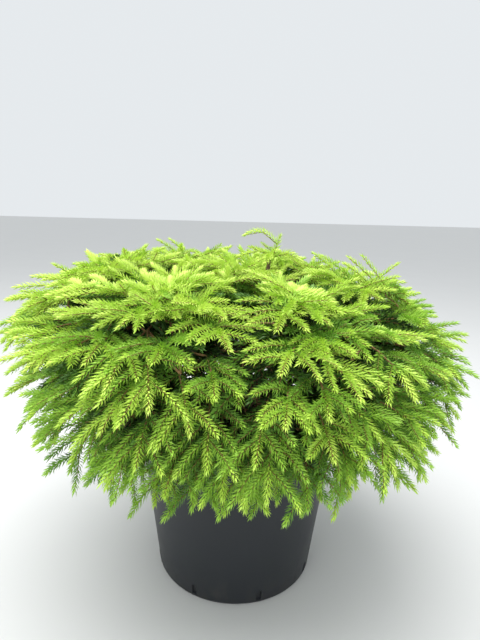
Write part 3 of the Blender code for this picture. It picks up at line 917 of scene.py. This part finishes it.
def pot_rows(pot):
    """The pot's half section as (radius, height) rows, from the underside's middle round to the inside floor.

    Also returns which rows are on the outside of the wall.
    """
    top = POT_HIGH
    rim_low = top - pot.rim_height
    turn = np.linspace(0, math.pi / 2, 7)
    foot = pot.foot_radius - pot.corner
    corner = np.stack([foot + pot.corner * np.sin(turn), pot.corner - pot.corner * np.cos(turn)], 1)
    slot_zone = np.linspace(pot.corner + 0.0004, pot.slot_high + 0.003, 26)
    wall = np.concatenate([slot_zone, np.linspace(pot.slot_high + 0.006, rim_low - 0.003, 16)])
    wall = np.stack([pot.foot_radius + pot.taper * wall, wall], 1)
    rim = pot.foot_radius + pot.taper * rim_low
    bead = 0.0022
    arc = np.linspace(0, math.pi / 2, 5)
    lip = [(rim, rim_low - 0.0008), (rim + pot.rim_out * 0.5, rim_low), (rim + pot.rim_out, rim_low + 0.0018)]
    edge = rim + pot.rim_out - bead
    lip += [(edge + bead * math.cos(angle), top - bead + bead * math.sin(angle)) for angle in arc]
    inner = pot.foot_radius + pot.taper * top - pot.wall
    lip += [(inner + 0.0008, top), (inner, top - 0.0012)]
    inside = [(pot.foot_radius + pot.taper * h - pot.wall, h) for h in np.linspace(top - 0.006, 0.008, 10)]
    underside = [(0.05, 0.0), (0.10, 0.0)]
    floor = [(pot.foot_radius - 0.004, 0.0045), (0.08, 0.004)]
    rows = np.concatenate([underside, corner, wall, lip, inside, floor])
    first = len(underside) + len(corner) - 1
    outside = np.zeros(len(rows), bool)
    outside[first : first + len(wall) + 2] = True
    return rows, outside


def build_pot(pot, material):
    """The pot as one surface of revolution, faintly uneven, with its columns crowded at the drain slots."""
    sector = 2 * math.pi / pot.slot_count
    near = 0.055
    close = np.linspace(-near, near, 29)
    rest = np.linspace(near, sector - near, 15)[1:-1]
    offsets = np.concatenate([close, rest])
    turn = (pot.slot_first + np.arange(pot.slot_count)[:, None] * sector + offsets).ravel()
    offset = np.tile(np.where(offsets > sector / 2, offsets - sector, offsets), pot.slot_count)
    rows, outside = pot_rows(pot)
    radius = np.repeat(rows[:, :1], len(turn), 1)
    height = np.repeat(rows[:, 1:], len(turn), 1)
    cut, lip = slot_depth(offset * radius, height, pot)
    flat = np.stack([np.cos(turn), np.sin(turn)], -1) * radius[..., None]
    waviness, lip_high, pocket, slot_zone = 0.0005, 0.0005, 0.0034, 0.04
    wave = lattice_noise(np.concatenate([flat, height[..., None]], -1), 16, 5) * waviness
    change = wave + lip_high * lip * (height < slot_zone) - pocket * cut
    radius = radius + np.where(outside[:, None], change, 0.0)
    points = np.stack([radius * np.cos(turn), radius * np.sin(turn), height], -1)
    ends = np.array([[0.0, 0.0, 0.0], [0.0, 0.0, 0.004]])
    points = np.concatenate([points.reshape(-1, 3), ends])
    quads, triangles = ring_faces(1, len(rows), len(turn))
    mesh = make_mesh("pot_shell", points, quads[:, ::-1], triangles[:, ::-1])
    mesh.set_sharp_from_angle(angle=math.radians(50))
    add_piece(mesh, material, ["pot"])


def build_mix(pot, material, chips):
    """The potting mix with its crumbly top, and chips of bark lying on it."""
    draw = np.random.default_rng(SEED + 1)
    columns = 180
    inset = pot.wall + 0.0006
    edge = pot.foot_radius + pot.taper * MIX_TOP - inset
    top = [(edge * share, MIX_TOP) for share in np.linspace(1.0, 0.02, 60)]
    levels = np.linspace(0.0046, MIX_TOP - 0.003, 6)
    side = [(pot.foot_radius + pot.taper * level - inset, level) for level in levels]
    rows = np.array([(0.06, 0.0043)] + side + top)
    turn = np.linspace(0, 2 * math.pi, columns, endpoint=False)
    radius = np.repeat(rows[:, :1], columns, 1)
    points = np.stack([radius * np.cos(turn), radius * np.sin(turn), np.repeat(rows[:, 1:], columns, 1)], -1)
    lumps = 0.0030 * lattice_noise(points, 60, 6) + 0.0016 * lattice_noise(points, 190, 7)
    lumps += 0.0008 * lattice_noise(points, 500, 8)
    first = len(side) + 1
    points[first:, :, 2] += lumps[first:] - 0.002
    ends = np.array([[0.0, 0.0, 0.0043], [0.0, 0.0, MIX_TOP - 0.002]])
    quads, triangles = ring_faces(1, len(rows), columns)
    points = np.concatenate([points.reshape(-1, 3), ends])
    mesh = make_mesh("mix_surface", points, quads[:, ::-1], triangles[:, ::-1])
    add_piece(mesh, material, ["potting_mix"])

    count = 700
    corner = np.array(list(itertools.product((-1, 1), repeat=3)), float)
    size = draw.uniform((0.0015, 0.0008, 0.0004), (0.0065, 0.0030, 0.0012), (count, 3))
    shape = corner * size[:, None] * draw.uniform(0.6, 1.0, (count, 8, 1))
    spin, tip = draw.uniform(0, 2 * math.pi, count), draw.normal(0, 0.25, count)
    along = np.stack([np.cos(spin) * np.cos(tip), np.sin(spin) * np.cos(tip), np.sin(tip)], -1)
    right, over = axes_round(along, np.array([0.01, 0.02, 1.0]))
    spread = edge * np.sqrt(draw.uniform(0.06, 0.93, count))
    where = draw.uniform(0, 2 * math.pi, count)
    middle = np.stack([spread * np.cos(where), spread * np.sin(where), np.full(count, MIX_TOP - 0.0005)], -1)
    turned = sum(shape[..., k : k + 1] * axis[:, None] for k, axis in enumerate((along, right, over)))
    box = np.array([(0, 2, 3, 1), (4, 5, 7, 6), (0, 1, 5, 4), (2, 6, 7, 3), (0, 4, 6, 2), (1, 3, 7, 5)])
    box = (box[None] + 8 * np.arange(count)[:, None, None]).reshape(-1, 4)
    points = (middle[:, None] + turned).reshape(-1, 3)
    mesh = make_mesh("mix_bark_chips", points, box, np.zeros((0, 3), int), smooth=False)
    add_piece(mesh, chips)


def build_floor(material):
    """A level square of floor far wider than any view of the plant."""
    half, squares = 20.0, 8
    lines = squares + 1
    share = np.linspace(-half, half, lines)
    x, y = np.meshgrid(share, share, indexing="ij")
    points = np.stack([x, y, np.zeros_like(x)], -1).reshape(-1, 3)
    row, column = np.meshgrid(np.arange(squares), np.arange(squares), indexing="ij")
    corner = (row * lines + column).ravel()
    quads = np.stack([corner, corner + lines, corner + lines + 1, corner + 1], -1)
    mesh = make_mesh("studio_floor", points, quads, np.zeros((0, 3), int))
    floor = new_object("studio_floor", mesh)
    mesh.materials.append(material)


def placed(x_axis, y_axis, z_axis, place):
    """The matrix that stands an object at a place on three axes."""
    return Matrix([*zip(x_axis, y_axis, z_axis, place), (0, 0, 0, 1)])


def add_light(name, power, size, place, aim):
    """A square soft light at a place, turned towards a point."""
    light = bpy.data.lights.new(name, "AREA")
    light.energy = power
    light.size = size
    lamp = new_object(name, light)
    away = unit(np.array(place) - np.array(aim))
    right, over = axes_round(-away, np.array([0.0, 1.0, 0.02]))
    lamp.matrix_world = placed(right, over, away, place)


def build_camera():
    """The camera at the photograph's place, looking along +Y, pitched down and slightly rolled."""
    pitch, roll = math.radians(CAMERA_PITCH_DEG), math.radians(CAMERA_ROLL_DEG)
    forward = np.array([0.0, math.cos(pitch), -math.sin(pitch)])
    level, upright = axes_round(forward, np.array([0.0, 0.0, 1.0]))
    right = level * math.cos(roll) + upright * math.sin(roll)
    over = upright * math.cos(roll) - level * math.sin(roll)
    data = bpy.data.cameras.new("camera")
    data.sensor_width = SENSOR_MM
    data.lens = FOCAL_PIXELS / PHOTO_HEIGHT_PIXELS * SENSOR_MM
    data.clip_start = 0.02
    camera = new_object("camera", data)
    camera.matrix_world = placed(right, over, -forward, CAMERA_PLACE)
    bpy.context.scene.camera = camera


def build_sky(strength):
    """Even pale light from all round."""
    world = bpy.data.worlds.new("studio_sky")
    world.use_nodes = True
    sky = world.node_tree.nodes["Background"]
    sky.inputs["Color"].default_value = (0.93, 0.97, 1.0, 1.0)
    sky.inputs["Strength"].default_value = strength
    bpy.context.scene.world = world


class SPRUCE_OT_pot(bpy.types.Operator):
    """Build the nursery pot with its rim and drain slots"""

    bl_idname = "spruce.pot"
    bl_label = "Pot"

    def execute(self, context):
        build_pot(context.scene.spruce_pot, pot_finish(context.scene.spruce_colours))
        return {"FINISHED"}


class SPRUCE_OT_mix(bpy.types.Operator):
    """Build the potting mix and the chips on it"""

    bl_idname = "spruce.mix"
    bl_label = "Potting mix"

    def execute(self, context):
        colours = context.scene.spruce_colours
        build_mix(context.scene.spruce_pot, mix_finish(colours), chip_finish(colours))
        return {"FINISHED"}


class SPRUCE_OT_limbs(bpy.types.Operator):
    """Build the trunk and the boughs in their bark"""

    bl_idname = "spruce.limbs"
    bl_label = "Trunk and boughs"

    def execute(self, context):
        bark = bark_finish(context.scene.spruce_colours)
        build_trunk(bark)
        build_boughs(bark)
        return {"FINISHED"}


class SPRUCE_OT_foliage(bpy.types.Operator):
    """Grow the twigs and needles"""

    bl_idname = "spruce.foliage"
    bl_label = "Foliage"

    def execute(self, context):
        scene = context.scene
        if not build_foliage(scene.spruce_crown, scene.spruce_shoots, scene.spruce_colours):
            raise RuntimeError("no needles grew")
        return {"FINISHED"}


class SPRUCE_OT_stage(bpy.types.Operator):
    """Set up the floor, the light and the camera"""

    bl_idname = "spruce.stage"
    bl_label = "Stage"

    def execute(self, context):
        stage = context.scene.spruce_stage
        build_floor(floor_finish(context.scene.spruce_colours))
        build_sky(stage.sky)
        add_light("overhead_light", stage.overhead, 2.6, (-0.3, -0.2, 2.7), (0.0, 0.0, 0.4))
        add_light("front_light", stage.front, 1.8, (-1.1, -2.4, 1.9), (0.0, 0.0, 0.35))
        build_camera()
        context.scene.view_settings.view_transform = "Standard"
        return {"FINISHED"}


OPERATORS = (SPRUCE_OT_pot, SPRUCE_OT_mix, SPRUCE_OT_limbs, SPRUCE_OT_foliage, SPRUCE_OT_stage)
SETTINGS = {
    "spruce_crown": CrownSettings,
    "spruce_shoots": ShootSettings,
    "spruce_colours": ColourSettings,
    "spruce_pot": PotSettings,
    "spruce_stage": StageSettings,
}


class SPRUCE_PT_panel(bpy.types.Panel):
    """Settings and operators of the potted spruce"""

    bl_idname = "SPRUCE_PT_panel"
    bl_label = "Potted spruce"
    bl_space_type = "VIEW_3D"
    bl_region_type = "UI"
    bl_category = "Spruce"

    def draw(self, context):
        for title, group in SETTINGS.items():
            box = self.layout.box()
            for name in group.__annotations__:
                box.prop(getattr(context.scene, title), name)
        for operator in OPERATORS:
            self.layout.operator(operator.bl_idname)


def register():
    for group in SETTINGS.values():
        bpy.utils.register_class(group)
    for title, group in SETTINGS.items():
        setattr(bpy.types.Scene, title, bpy.props.PointerProperty(type=group))
    for made in (*OPERATORS, SPRUCE_PT_panel):
        bpy.utils.register_class(made)


def unregister():
    for made in (SPRUCE_PT_panel, *reversed(OPERATORS)):
        bpy.utils.unregister_class(made)
    for title, group in SETTINGS.items():
        delattr(bpy.types.Scene, title)
        bpy.utils.unregister_class(group)


def main():
    register()
    bpy.ops.spruce.pot()
    bpy.ops.spruce.mix()
    bpy.ops.spruce.limbs()
    bpy.ops.spruce.foliage()
    bpy.ops.spruce.stage()


if __name__ == "__main__":
    main()
